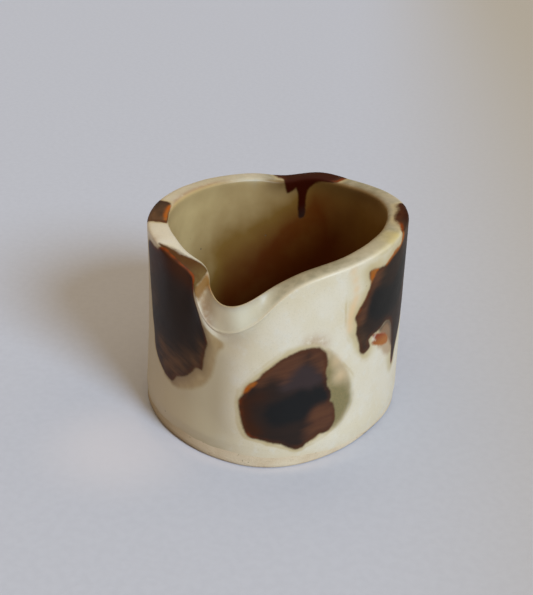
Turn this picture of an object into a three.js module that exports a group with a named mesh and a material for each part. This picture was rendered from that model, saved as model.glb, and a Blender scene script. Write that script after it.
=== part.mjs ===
// A hand-built stoneware pouring jug: clay slabs luted together, a spout pinched out of the rim,
// a cream glaze coat inside and out, and patches of brown glaze laid over it.
// Millimetres, +Z up. The origin is on the underside of the foot and the spout points along -Y.
import * as THREE from 'three';
import { mergeVertices } from 'three/addons/utils/BufferGeometryUtils.js';

// Driving dimensions of the clay
const RIM_RADIUS = 39.5;
const FOOT_SPREAD = 0.7;
const RIM_HEIGHT = 62.1;
const WALL = 5.5;
const BASE_THICKNESS = 6;
const FOOT_ROUNDING = 1.2;
const CREST = 1.1;
const COIL = 6;
const COIL_HOLLOW = 1.8;

// Driving dimensions of the spout
const SPOUT_DIP = 11.6;
const SPOUT_FLARE = 7.9;
const SPOUT_KEEL = 0.8;
const LIP_BEVEL = 8;
const PINCH_DEPTH = 3.1;

// Driving dimensions of the unevenness that the hand left in the side and in the rim at the back
const SIDE_WAIST = 1;
const BACK_NOTCH = 1.1;
const BACK_SWELL = 0.9;

// Driving dimensions of the glaze
const GLAZE = 0.45;
const PATCH_GLAZE = 0.3;
const BARE_FOOT = 3.3;

// Clearances between layers that follow the same facets, and under the patches that don't
const SEAT = 0.05;
const PATCH_SEAT = 0.3;

// How the hand-built outline wanders round the jug: cosine and sine parts of each harmonic, in millimetres
const FOOT_WANDER = [[0, -0.7], [0.6, -0.2], [0.7, 0.7], [0.2, 0.4]];
const RIM_WANDER = [[-2, 0.7], [0.3, 0], [0.1, 0.4]];
const HEIGHT_WANDER = [[-0.2, 0.7], [-0.5, -0.4], [0.3, -0.5], [0, -0.1]];
const GLAZE_LINE_WANDER = [[0.4, -0.4], [0.1, -0.2]];

// Where these features lie round the jug and how wide they are to either side
const DIP_SPREAD = { centreDegrees: -6.5, leftDegrees: 18.5, rightDegrees: 19.5 };
const FLARE_SPREAD = { centreDegrees: 3, leftDegrees: 10.5, rightDegrees: 8.5 };
const BEVEL_SPREAD = { centreDegrees: -6.5, leftDegrees: 8.5, rightDegrees: 15 };
const KEEL_SPREAD = { centreDegrees: 11, leftDegrees: 8.5, rightDegrees: 15 };
const PINCH_SPREAD = { centreDegrees: -26, leftDegrees: 5.5, rightDegrees: 5.5 };
const WAIST_SPREAD = { centreDegrees: -36, leftDegrees: 36, rightDegrees: 13 };
const NOTCH_SPREAD = { centreDegrees: -166, leftDegrees: 7, rightDegrees: 7 };
const SWELL_SPREAD = { centreDegrees: 175, leftDegrees: 6.5, rightDegrees: 6.5 };

// The wall starts to lean out into the spout at this share of its height, along a power curve
const BEND_START = 0.42;
const BEND_POWER = 4.8;

// Squareness of the rim's section: 1 is an ellipse, smaller is squarer
const RIM_SQUARENESS = 0.62;

// Facets: steps round the jug and how far they crowd towards the spout, steps along a small curve,
// steps across a patch, and corners in the index for each four-sided facet
const ROUND_STEPS = 64;
const CROWDING = 0.45;
const CURVE_STEPS = 4;
const PATCH_COLUMNS = 17;
const CORNERS_PER_FACET = 6;
const WELD = 1e-5;

// Levels round the section: 0 at the table, 1 at the rim's outer shoulder, 2 at its inner shoulder
// and 3 at the floor inside
const OUTER_LEVELS = [0.42, 0.58, 0.7, 0.8, 0.88, 0.94, 1];
const RIM_LEVELS = [1.14, 1.28, 1.4, 1.5, 1.6, 1.72, 1.86, 2];
const INNER_LEVELS = [2.12, 2.24, 2.38, 2.6];

// Patch outlines, from left to right: degrees round from the spout, then the lower and the upper level there
const PATCHES = {
  front_patch: [
    [4, 0.4, 0.44], [6, 0.27, 0.51], [9, 0.205, 0.56], [13, 0.185, 0.59], [18, 0.16, 0.63],
    [23, 0.13, 0.655], [28, 0.11, 0.675], [34, 0.155, 0.675], [38, 0.165, 0.65], [40.5, 0.17, 0.575],
    [42.5, 0.195, 0.4], [45, 0.25, 0.3],
  ],
  left_patch: [
    [-60.5, 0.82, 0.95], [-58.5, 0.72, 0.97], [-55, 0.58, 0.98], [-50, 0.45, 0.995], [-44, 0.375, 1.1],
    [-37, 0.335, 1.24], [-31, 0.345, 1.27], [-26, 0.4, 1.24], [-22.5, 0.455, 1.05], [-19, 0.5, 0.95],
    [-15.5, 0.55, 0.935], [-13, 0.62, 0.87], [-11.8, 0.74, 0.82],
  ],
  left_rim_patch: [
    [-102, 0.8, 0.95], [-98, 0.69, 1.1], [-91, 0.6, 1.5], [-85, 0.59, 1.75], [-78, 0.64, 1.86],
    [-72.5, 0.78, 1.84], [-69, 0.93, 1.78],
  ],
  right_patch: [
    [54, 0.735, 0.765], [55.7, 0.68, 0.775], [57.7, 0.56, 0.8], [59.5, 0.51, 0.83], [62, 0.505, 0.94],
    [64, 0.52, 0.955], [65.5, 0.59, 0.96], [71, 0.6, 0.965], [76.5, 0.615, 0.97], [81, 0.57, 0.975],
    [84, 0.42, 0.99], [86, 0.31, 1.05], [89.5, 0.31, 1.26], [93, 0.4, 1.4], [101, 0.52, 1.52],
    [111, 0.7, 1.48], [120, 0.9, 1.3],
  ],
  back_patch: [
    [163, 0.93, 1.55], [165.5, 0.75, 1.75], [171, 0.6, 1.95], [176, 0.5, 2.02], [179.3, 0.46, 2.04],
    [180.3, 0.455, 2.14], [182.3, 0.45, 2.22], [184.6, 0.455, 2.145], [185.6, 0.46, 2.05],
    [187.5, 0.48, 2.06], [191, 0.52, 2.065], [192.5, 0.56, 2.01], [195, 0.7, 1.88], [197.5, 0.92, 1.7],
  ],
};

const CREAM = { color: 0xd3cebe, roughness: 0.35, metalness: 0 };
const CLAY = { color: 0xbfb29b, roughness: 0.9, metalness: 0 };
const BROWN = { color: 0x2b211c, roughness: 0.25, metalness: 0 };

const SHOULDER = RIM_HEIGHT - CREST;
const INSIDE_RADIUS = RIM_RADIUS - WALL;

// A mean value with its wander, as a function of the angle round the jug
function wandering(mean, harmonics) {
  return (angle) => harmonics.reduce((sum, [cosine, sine], index) => {
    const turn = (index + 1) * angle;
    return sum + cosine * Math.cos(turn) + sine * Math.sin(turn);
  }, mean);
}

// A smooth hump on the way round the jug, with its own width on each side
function hump(amount, { centreDegrees, leftDegrees, rightDegrees }) {
  return (angle) => {
    const turn = angle - THREE.MathUtils.degToRad(centreDegrees);
    const away = THREE.MathUtils.radToDeg(Math.atan2(Math.sin(turn), Math.cos(turn)));
    const width = away < 0 ? leftDegrees : rightDegrees;
    return amount * Math.exp(-0.5 * (away / width) ** 2);
  };
}

const footRadius = wandering(RIM_RADIUS + FOOT_SPREAD, FOOT_WANDER);
const rimRadius = wandering(RIM_RADIUS, RIM_WANDER);
const rimHeight = wandering(RIM_HEIGHT, HEIGHT_WANDER);
const bareFoot = wandering(BARE_FOOT, GLAZE_LINE_WANDER);
const dip = hump(SPOUT_DIP, DIP_SPREAD);
const flare = hump(SPOUT_FLARE, FLARE_SPREAD);
const bevel = hump(LIP_BEVEL, BEVEL_SPREAD);
const keel = hump(SPOUT_KEEL, KEEL_SPREAD);
const pinch = hump(PINCH_DEPTH, PINCH_SPREAD);
const waist = hump(SIDE_WAIST, WAIST_SPREAD);
const notch = hump(BACK_NOTCH, NOTCH_SPREAD);
const swell = hump(BACK_SWELL, SWELL_SPREAD);

// The hand forming of the jug: takes a place on a plain turned cup to its place on the finished one
function form(radius, height, angle) {
  const up = Math.min(height, SHOULDER) / SHOULDER;
  const bend = Math.max(up - BEND_START, 0) / (1 - BEND_START);
  const depth = Math.min(RIM_RADIUS - radius, WALL + COIL);
  const across = WALL / 2 - depth;
  const throughWall = THREE.MathUtils.clamp(across / WALL + 0.5, 0, 1);

  const shoulder = rimHeight(angle) - dip(angle) - notch(angle) + swell(angle) - CREST;
  const stretch = (shoulder - BASE_THICKNESS) / (SHOULDER - BASE_THICKNESS);
  const aboveBase = Math.max(Math.min(height, SHOULDER) - BASE_THICKNESS, 0);
  const middle = THREE.MathUtils.lerp(footRadius(angle), rimRadius(angle), up) - WALL / 2
    + keel(angle) * (1 - bend ** 2) - waist(angle) * Math.sin(Math.PI * up)
    - pinch(angle) * bend ** 2 + flare(angle) * bend ** BEND_POWER;

  const slope = flare(angle) * BEND_POWER * bend ** (BEND_POWER - 1) / (1 - BEND_START);
  const lean = Math.atan2(slope, shoulder);
  const along = Math.max(height - SHOULDER, 0) - bevel(angle) * bend ** 2 * throughWall;

  const inward = radius / (RIM_RADIUS - depth);
  const reach = (middle + across * Math.cos(lean) + along * Math.sin(lean)) * inward;
  const rise = Math.min(height, BASE_THICKNESS) + aboveBase * stretch
    + along * Math.cos(lean) - across * Math.sin(lean);
  return new THREE.Vector3(reach * Math.sin(angle), -reach * Math.cos(angle), rise);
}

// The place on the plain cup's section at a level, set off from the clay by a layer's height
function section(level, offset) {
  if (level <= 1) {
    return new THREE.Vector2(RIM_RADIUS + offset, level * SHOULDER);
  }
  if (level < 2) {
    const turn = (level - 1) * Math.PI;
    const side = Math.sign(Math.cos(turn)) * Math.abs(Math.cos(turn)) ** RIM_SQUARENESS;
    const top = Math.sin(turn) ** RIM_SQUARENESS;
    const middle = RIM_RADIUS - WALL / 2;
    return new THREE.Vector2(middle + side * (WALL / 2 + offset), SHOULDER + top * (CREST + offset));
  }
  const drop = (level - 2) * (SHOULDER - BASE_THICKNESS);
  return new THREE.Vector2(INSIDE_RADIUS - offset, SHOULDER - drop);
}

// The hollow face of the corner coil, from the wall down to the floor, set off by a layer's height
function coilFace(offset) {
  const corner = new THREE.Vector2(INSIDE_RADIUS - offset, BASE_THICKNESS + offset);
  const curve = new THREE.QuadraticBezierCurve(
    corner.clone().add(new THREE.Vector2(0, COIL)),
    corner.clone().add(new THREE.Vector2(-COIL_HOLLOW, COIL_HOLLOW)),
    corner.clone().add(new THREE.Vector2(-COIL, 0)),
  );
  return curve.getPoints(CURVE_STEPS);
}

// Splits each four-sided facet of a ring along its shorter diagonal, so that layers crease alike
function creaseAlike(geometry) {
  const { index } = geometry;
  const corner = (vertex) => new THREE.Vector3().fromBufferAttribute(geometry.attributes.position, vertex);
  const span = (first, second) => corner(first).distanceTo(corner(second));
  for (let i = 0; i < index.count; i += CORNERS_PER_FACET) {
    const [a, b, d, c] = [0, 1, 2, 3].map((k) => index.getX(i + k));
    if (span(a, c) < span(b, d)) {
      [a, b, c, c, d, a].forEach((vertex, k) => index.setX(i + k, vertex));
    }
  }
}

function clean(geometry) {
  geometry.deleteAttribute('normal');
  geometry.deleteAttribute('uv');
  const merged = mergeVertices(geometry, WELD);
  merged.computeVertexNormals();
  return merged;
}

// Turns a closed section into a plain ring, then forms it by hand
function turned(profile, place = form) {
  const geometry = new THREE.LatheGeometry(profile, ROUND_STEPS);
  const position = geometry.attributes.position;
  for (let i = 0; i < position.count; i += 1) {
    const radius = Math.hypot(position.getX(i), position.getZ(i));
    const turn = Math.atan2(position.getX(i), position.getZ(i));
    const angle = turn - CROWDING * Math.sin(turn);
    const placed = place(radius, position.getY(i), angle);
    position.setXYZ(i, placed.x, placed.y, placed.z);
  }
  creaseAlike(geometry);
  return clean(geometry);
}

function piece(name, geometry, finish) {
  const mesh = new THREE.Mesh(geometry, new THREE.MeshStandardMaterial(finish));
  mesh.name = name;
  return mesh;
}

function baseSlab() {
  const edge = new THREE.EllipseCurve(
    RIM_RADIUS - FOOT_ROUNDING, FOOT_ROUNDING, FOOT_ROUNDING, FOOT_ROUNDING, -Math.PI / 2, 0,
  );
  return turned([
    new THREE.Vector2(0, 0),
    ...edge.getPoints(CURVE_STEPS),
    new THREE.Vector2(RIM_RADIUS, BASE_THICKNESS),
    new THREE.Vector2(INSIDE_RADIUS, BASE_THICKNESS),
    new THREE.Vector2(0, BASE_THICKNESS),
  ]);
}

function wallSlab() {
  const path = [...OUTER_LEVELS, ...RIM_LEVELS, ...INNER_LEVELS].map((level) => section(level, 0));
  const heel = new THREE.Vector2(RIM_RADIUS, BASE_THICKNESS);
  return turned([heel, ...path, new THREE.Vector2(INSIDE_RADIUS, BASE_THICKNESS), heel]);
}

function cornerCoil() {
  const corner = new THREE.Vector2(INSIDE_RADIUS - SEAT, BASE_THICKNESS);
  const face = coilFace(SEAT).map((point) => new THREE.Vector2(point.x, point.y - SEAT));
  return turned([corner, ...face, corner]);
}

function outerGlaze() {
  const layer = (offset) => [
    new THREE.Vector2(RIM_RADIUS + offset, 0),
    new THREE.Vector2(RIM_RADIUS + offset, BASE_THICKNESS),
    ...[...OUTER_LEVELS, ...RIM_LEVELS].map((level) => section(level, offset)),
  ];
  const inside = layer(SEAT);
  const outside = layer(SEAT + GLAZE);
  const profile = [...outside, ...inside.reverse(), outside[0]];
  const place = (radius, height, angle) => form(radius, height === 0 ? bareFoot(angle) : height, angle);
  return turned(profile, place);
}

function linerGlaze() {
  const layer = (offset) => [
    section(RIM_LEVELS.at(-1), offset).sub(new THREE.Vector2(0, SEAT)),
    ...INNER_LEVELS.map((level) => section(level, offset)),
    ...coilFace(offset),
    new THREE.Vector2(0, BASE_THICKNESS + offset),
  ];
  const against = layer(2 * SEAT);
  const inside = layer(2 * SEAT + GLAZE);
  return turned([...against.reverse(), ...inside]);
}

// A film of brown glaze lying on the cream coat inside its outline, with rows at the coat's own levels
function patch(outline) {
  const points = outline.map((row) => new THREE.Vector3(...row));
  const edges = new THREE.CatmullRomCurve3(points, false, 'catmullrom');
  const lowest = Math.min(...points.map((point) => point.y));
  const highest = Math.max(...points.map((point) => point.z));
  const levels = [...OUTER_LEVELS, ...RIM_LEVELS, ...INNER_LEVELS]
    .filter((level) => level > lowest && level < highest);
  const rows = levels.length + 1;
  const steps = [-Infinity, ...levels, Infinity];

  const under = SEAT + GLAZE + PATCH_SEAT;
  const geometry = new THREE.BoxGeometry(1, 1, 1, PATCH_COLUMNS, rows, 1);
  const position = geometry.attributes.position;
  for (let i = 0; i < position.count; i += 1) {
    const { x: degrees, y: low, z: high } = edges.getPoint(position.getX(i) + 0.5);
    const step = steps[Math.round((position.getY(i) + 0.5) * rows)];
    const level = THREE.MathUtils.clamp(step, low, high);
    const flat = section(level, position.getZ(i) > 0 ? under + PATCH_GLAZE : under);
    const placed = form(flat.x, flat.y, THREE.MathUtils.degToRad(degrees));
    position.setXYZ(i, placed.x, placed.y, placed.z);
  }
  return clean(geometry);
}

const jug = new THREE.Group();
jug.add(piece('base_slab', baseSlab(), CLAY));
jug.add(piece('wall_slab', wallSlab(), CLAY));
jug.add(piece('corner_coil', cornerCoil(), CLAY));
jug.add(piece('liner_glaze', linerGlaze(), CREAM));
jug.add(piece('outer_glaze', outerGlaze(), CREAM));
for (const [name, outline] of Object.entries(PATCHES)) {
  jug.add(piece(name, patch(outline), BROWN));
}

export default jug;
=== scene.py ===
import math

import bpy
import numpy as np
from mathutils import Matrix, Vector


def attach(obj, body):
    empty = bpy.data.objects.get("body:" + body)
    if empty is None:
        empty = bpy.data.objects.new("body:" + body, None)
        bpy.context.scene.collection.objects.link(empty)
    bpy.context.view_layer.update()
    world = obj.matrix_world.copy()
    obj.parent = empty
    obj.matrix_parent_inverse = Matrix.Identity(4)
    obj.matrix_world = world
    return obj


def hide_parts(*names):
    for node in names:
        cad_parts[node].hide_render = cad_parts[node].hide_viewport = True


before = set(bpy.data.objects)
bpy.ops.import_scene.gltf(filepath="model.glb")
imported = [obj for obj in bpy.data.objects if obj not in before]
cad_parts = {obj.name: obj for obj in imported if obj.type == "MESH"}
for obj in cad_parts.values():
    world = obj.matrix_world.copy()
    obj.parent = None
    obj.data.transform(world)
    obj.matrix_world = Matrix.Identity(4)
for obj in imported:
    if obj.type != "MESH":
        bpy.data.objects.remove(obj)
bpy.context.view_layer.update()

MM = 0.001

# The clay's sizes in millimetres, as in the part's source
RIM_RADIUS = 39.5
FOOT_SPREAD = 0.7
RIM_HEIGHT = 62.1
WALL = 5.5
BASE_THICKNESS = 6.0
FOOT_ROUNDING = 1.2
CREST = 1.1
COIL = 6.0
COIL_HOLLOW = 1.8
BARE_FOOT = 3.3
SPOUT_DIP = 11.6
SPOUT_FLARE = 7.9
SPOUT_KEEL = 0.8
LIP_BEVEL = 8.0
PINCH_DEPTH = 3.1
SIDE_WAIST = 1.0
BACK_NOTCH = 1.1
BACK_SWELL = 0.9
SEAT = 0.05
SHOULDER = RIM_HEIGHT - CREST
INSIDE_RADIUS = RIM_RADIUS - WALL

# Wander round the jug, as in the part's source: the cosine and sine of each harmonic, in millimetres
FOOT_WANDER = ((0, -0.7), (0.6, -0.2), (0.7, 0.7), (0.2, 0.4))
RIM_WANDER = ((-2, 0.7), (0.3, 0), (0.1, 0.4))
HEIGHT_WANDER = ((-0.2, 0.7), (-0.5, -0.4), (0.3, -0.5), (0, -0.1))
GLAZE_LINE_WANDER = ((0.4, -0.4), (0.1, -0.2))

# Where the formed places are, as in the part's source: centre and widths to each side, in degrees
DIP_SPREAD = (-6.5, 18.5, 19.5)
FLARE_SPREAD = (3, 10.5, 8.5)
BEVEL_SPREAD = (-6.5, 8.5, 15)
KEEL_SPREAD = (11, 8.5, 15)
PINCH_SPREAD = (-26, 5.5, 5.5)
WAIST_SPREAD = (-36, 36, 13)
NOTCH_SPREAD = (-166, 7, 7)
SWELL_SPREAD = (175, 6.5, 6.5)
BEND_START = 0.42
BEND_POWER = 4.8
RIM_SQUARENESS = 0.62

# Small forms that the solids leave out: height in millimetres and degrees as above, or levels up the section
GUTTER = (0.3, (-13, 8, 7))
GUTTER_LEVELS = (1.55, 0.22)
LIP_ROLL = (0.4, (4, 9, 15))
ROLL_LEVELS = (1.08, 0.1)
RIDGE = (0.7, (5, 8, 16))
HOLLOW = (0.7, (-12, 25, 8))
UNDER_LIP = (1.0, 0.82)
UNEVEN_BAND = (0.1, 0.3, 2.8, 3.0)
RIGHT_RUN = (1.9, (60, 20, 50))
LEFT_RUN = (1.7, (-72, 30, 38))

# Waves round the jug: how many, phase and height, in millimetres or as a share
RAGGED_LINE = ((13, 0.8, 0.12), (29, 2.1, 0.08), (47, 0, 0.05))
FOOT_WEAR = ((5, 1, 0.12), (11, 0, 0.08))

# Heights of the glaze over the clay, and where they rise: levels, or millimetres from an edge
COAT = 0.42
LINER = 0.5
LINER_RISE = (1.6, 2.1)
FEATHER = (-0.3, 5.0)
FILM_HEIGHT = 0.1
FILM_RISE = (-0.6, 2.2)
FILM_TUCK = 0.08
FILM_TUCK_RISE = (0.2, -1.0)
FILM_ROOT = 0.2
FILM_SKIRT = 1.3

# Facets: the angles of the columns, which crowd towards the spout, and the numbers of rows
COLUMNS = 420
CROWDING = 0.3
EVEN_ANGLES = np.linspace(-math.pi, math.pi, COLUMNS, endpoint=False)
ANGLES = EVEN_ANGLES - CROWDING * np.sin(EVEN_ANGLES)
COAT_WALL_ROWS = 100
COAT_RIM_ROWS = 23
COAT_INNER_ROWS = 56
COAT_COIL_ROWS = 9
COAT_FLOOR_ROWS = 12
COAT_BACK_COIL_ROWS = 5
WALL_OUTER_ROWS = 40
WALL_RIM_ROWS = 17
WALL_INNER_ROWS = 24
FOOT_EDGE_ROWS = 12
FOOT_SIDE_ROWS = 10

# Rows that are given one by one, as levels up the section or in millimetres, and the grid of the brown films
COAT_BACK_LEVELS = (2.8, 2.5, 2.2, 2, 1.86, 1.72, 1.5, 1.28, 1.14, 1, 0.94, 0.88, 0.8, 0.7, 0.58, 0.42, 0.1)
CENTRE_RADIUS = 1.5
FOOT_FLAT_RADII = (CENTRE_RADIUS, 12, 24, 32)
FOOT_TOP_RADII = (INSIDE_RADIUS, 20, CENTRE_RADIUS)
FOOT_SIDE_START = 3.2
FILM_STEP = 0.45
FILM_MARGIN = 2.0
FILM_LOWEST = 4.0

# The surface laid out flat, in millimetres: x round the jug and y up the wall, over the rim and down inside
FLAT_RADIUS = 40.0
FLAT_SEAM = 140.0
RIM_LENGTH = 8.4
INNER_LENGTH = SHOULDER - BASE_THICKNESS
FLOOR_LEVEL = 3.0
LEVELS = (0, 1, 2, FLOOR_LEVEL)
LENGTHS = (0, SHOULDER, SHOULDER + RIM_LENGTH, SHOULDER + RIM_LENGTH + INNER_LENGTH)
OUTLINE_STEPS = 4
OUTLINE_REACH = 8.0

# Where the glaze's colours fade in and out: levels, degrees from the spout, or millimetres
RIM_BAND = (1.1, 1.38, 2.0, 2.25)
BURN_BAND = (1.4, 1.85, 1.98, 2.12)
RUST_LEVEL = 1.68
RUST_WIDTH = 0.8
RUST_STRENGTH = 0.5
RUST_BAND = (-145, -124, -96, -84)
# Painted shade over the left of the outside, where the light falls off: degrees round, then the levels where
# it fades out below the rim
PAINTED_SHADE_BAND = (-130, -105, -8, 6)
PAINTED_SHADE_TOP = (1.0, 0.9)
INNER_FADE = 0.22
POOL_START = (-3, 1)
DEEP_POOL = (27, 46)
BROWN_HALO = 1.6
FOOT_REACH = (-1, 20)

# How rough and how shiny the glazes are
CREAM_ROUGHNESS = 0.38
CREAM_SPECULAR = 0.35
BROWN_ROUGHNESS = 0.4
BROWN_SPECULAR = 0.1

# The floor, which sweeps up far away, in metres, and the middle of a pool of light painted on it, in
# millimetres
FLOOR_HALF = 2.0
SWEEP_HALF = 5.0
SWEEP_RISE = 0.3
PAINTED_LIGHT_CENTRE = (-33, -43, 0)

# The light: degrees from the spout's side and up, strength, width in radians, and colours
KEY_AZIMUTH = 56
KEY_ELEVATION = 31
KEY_STRENGTH = 2.82
KEY_SOFTNESS = 0.35
KEY_COLOUR = (0.74, 1.0, 1.32)
ROOM_WALLS = (0.14, 0.07, 0, 1)
ROOM_TOP = (1.2, 1.05, 0.83, 1)
ROOM_RISE = 2

# The photograph's camera: its place in metres, its right, up and back directions, and its lens
CAMERA_PLACE = (0.09159, -0.29464, 0.19259)
CAMERA_RIGHT = (0.95153, 0.30743, 0.00877)
CAMERA_UP = (-0.14718, 0.43013, 0.89069)
CAMERA_BACK = (0.27005, -0.84881, 0.45453)
CAMERA_SENSOR = 36
CAMERA_LENS = 66.55
CAMERA_NEAREST = 0.01

# Outlines of the brown patches: degrees round from the spout, and the level up the section
OUTLINES = {
    "front_patch": [
        (4, 0.432), (5.8, 0.48), (7, 0.528), (9.2, 0.556), (11.8, 0.572), (13.8, 0.604), (16.5, 0.624),
        (20.2, 0.652), (24.2, 0.664), (28.5, 0.672), (32.2, 0.668), (35.2, 0.66), (38, 0.64), (40.2, 0.604),
        (41, 0.556), (40.2, 0.504), (40.8, 0.468), (40.8, 0.428), (42.5, 0.392), (43, 0.356), (42.5, 0.332),
        (44.2, 0.312), (45.2, 0.268), (45.5, 0.22), (44.5, 0.186), (42.5, 0.164), (40, 0.157), (37.6, 0.16),
        (35, 0.142), (32.2, 0.13), (30, 0.108), (27.2, 0.102), (24.8, 0.115), (22.8, 0.13), (20.8, 0.148),
        (16.8, 0.16), (13.8, 0.178), (10, 0.191), (7.8, 0.209), (6, 0.268), (4.5, 0.364),
    ],
    "left_patch": [
        (-62.5, 0.93), (-58.2, 0.975), (-47.2, 0.99), (-43.5, 1.2), (-41, 1.33), (-37, 1.336),
        (-33.2, 1.288), (-30.2, 1.23), (-27.2, 1.252), (-24.8, 1.312), (-22.8, 1.132), (-22, 0.96),
        (-19, 0.955), (-16.8, 0.94), (-14.8, 0.876), (-13, 0.82), (-12.2, 0.784), (-13.2, 0.708),
        (-14.2, 0.616), (-14.8, 0.544), (-16.5, 0.536), (-18.8, 0.52), (-21.2, 0.472), (-24.5, 0.424),
        (-28.2, 0.388), (-32, 0.36), (-35.2, 0.312), (-38.8, 0.308), (-43, 0.32), (-48.8, 0.356),
        (-53.5, 0.408), (-55.2, 0.484), (-58, 0.556), (-59.5, 0.64), (-61, 0.716), (-62.5, 0.82),
    ],
    "left_rim_patch": [
        (-100, 0.8), (-97, 0.69), (-91, 0.6), (-85, 0.59), (-78, 0.64), (-73, 0.78), (-71, 0.98),
        (-68.8, 1.384), (-67, 1.528), (-66.8, 1.744), (-74, 1.9), (-83, 1.84), (-90, 1.72), (-93.5, 1.54),
        (-94.5, 1.3), (-97, 1.1), (-100, 0.95),
    ],
    "right_patch": [
        (61.2, 0.948), (61.5, 0.916), (62.5, 0.884), (61.5, 0.852), (60, 0.824), (58.8, 0.804),
        (56.8, 0.78), (54.8, 0.752), (54.2, 0.732), (55.5, 0.696), (55.2, 0.652), (56, 0.624),
        (57.5, 0.576), (58.2, 0.536), (60.5, 0.512), (63.2, 0.516), (65.2, 0.532), (64, 0.568),
        (64.8, 0.58), (67.5, 0.588), (72, 0.592), (75.2, 0.608), (79, 0.604), (83, 0.56), (85, 0.484),
        (85.8, 0.428), (87, 0.33), (89.5, 0.31), (93, 0.4), (101, 0.52), (111, 0.7), (120, 0.9),
        (120.5, 1.372), (111.5, 1.5), (104, 1.56), (98, 1.53), (90, 1.3), (88.3, 1.05), (87.6, 0.976),
        (86, 0.964), (81, 0.968), (78.2, 0.956), (74.8, 0.944), (71.8, 0.932), (67.2, 0.94), (63.8, 0.952),
    ],
    "back_patch": [
        (163, 0.93), (165.5, 0.75), (171, 0.6), (176, 0.5), (182.3, 0.45), (187.5, 0.48), (191, 0.52),
        (194, 0.6), (196.5, 0.75), (198, 1), (198, 1.336), (195.5, 1.528), (193, 1.588), (191.8, 1.9),
        (190.5, 2.05), (188.8, 2.05), (186.8, 2.04), (185.5, 2.03), (184.2, 2.085), (184.2, 2.175),
        (183.5, 2.225), (181.2, 2.225), (180.2, 2.195), (180, 2.105), (179, 2.05), (177, 2.025),
        (173.8, 1.996), (169.2, 1.912), (163.8, 1.78), (162.2, 1.528), (162, 1.2),
    ],
}

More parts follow.
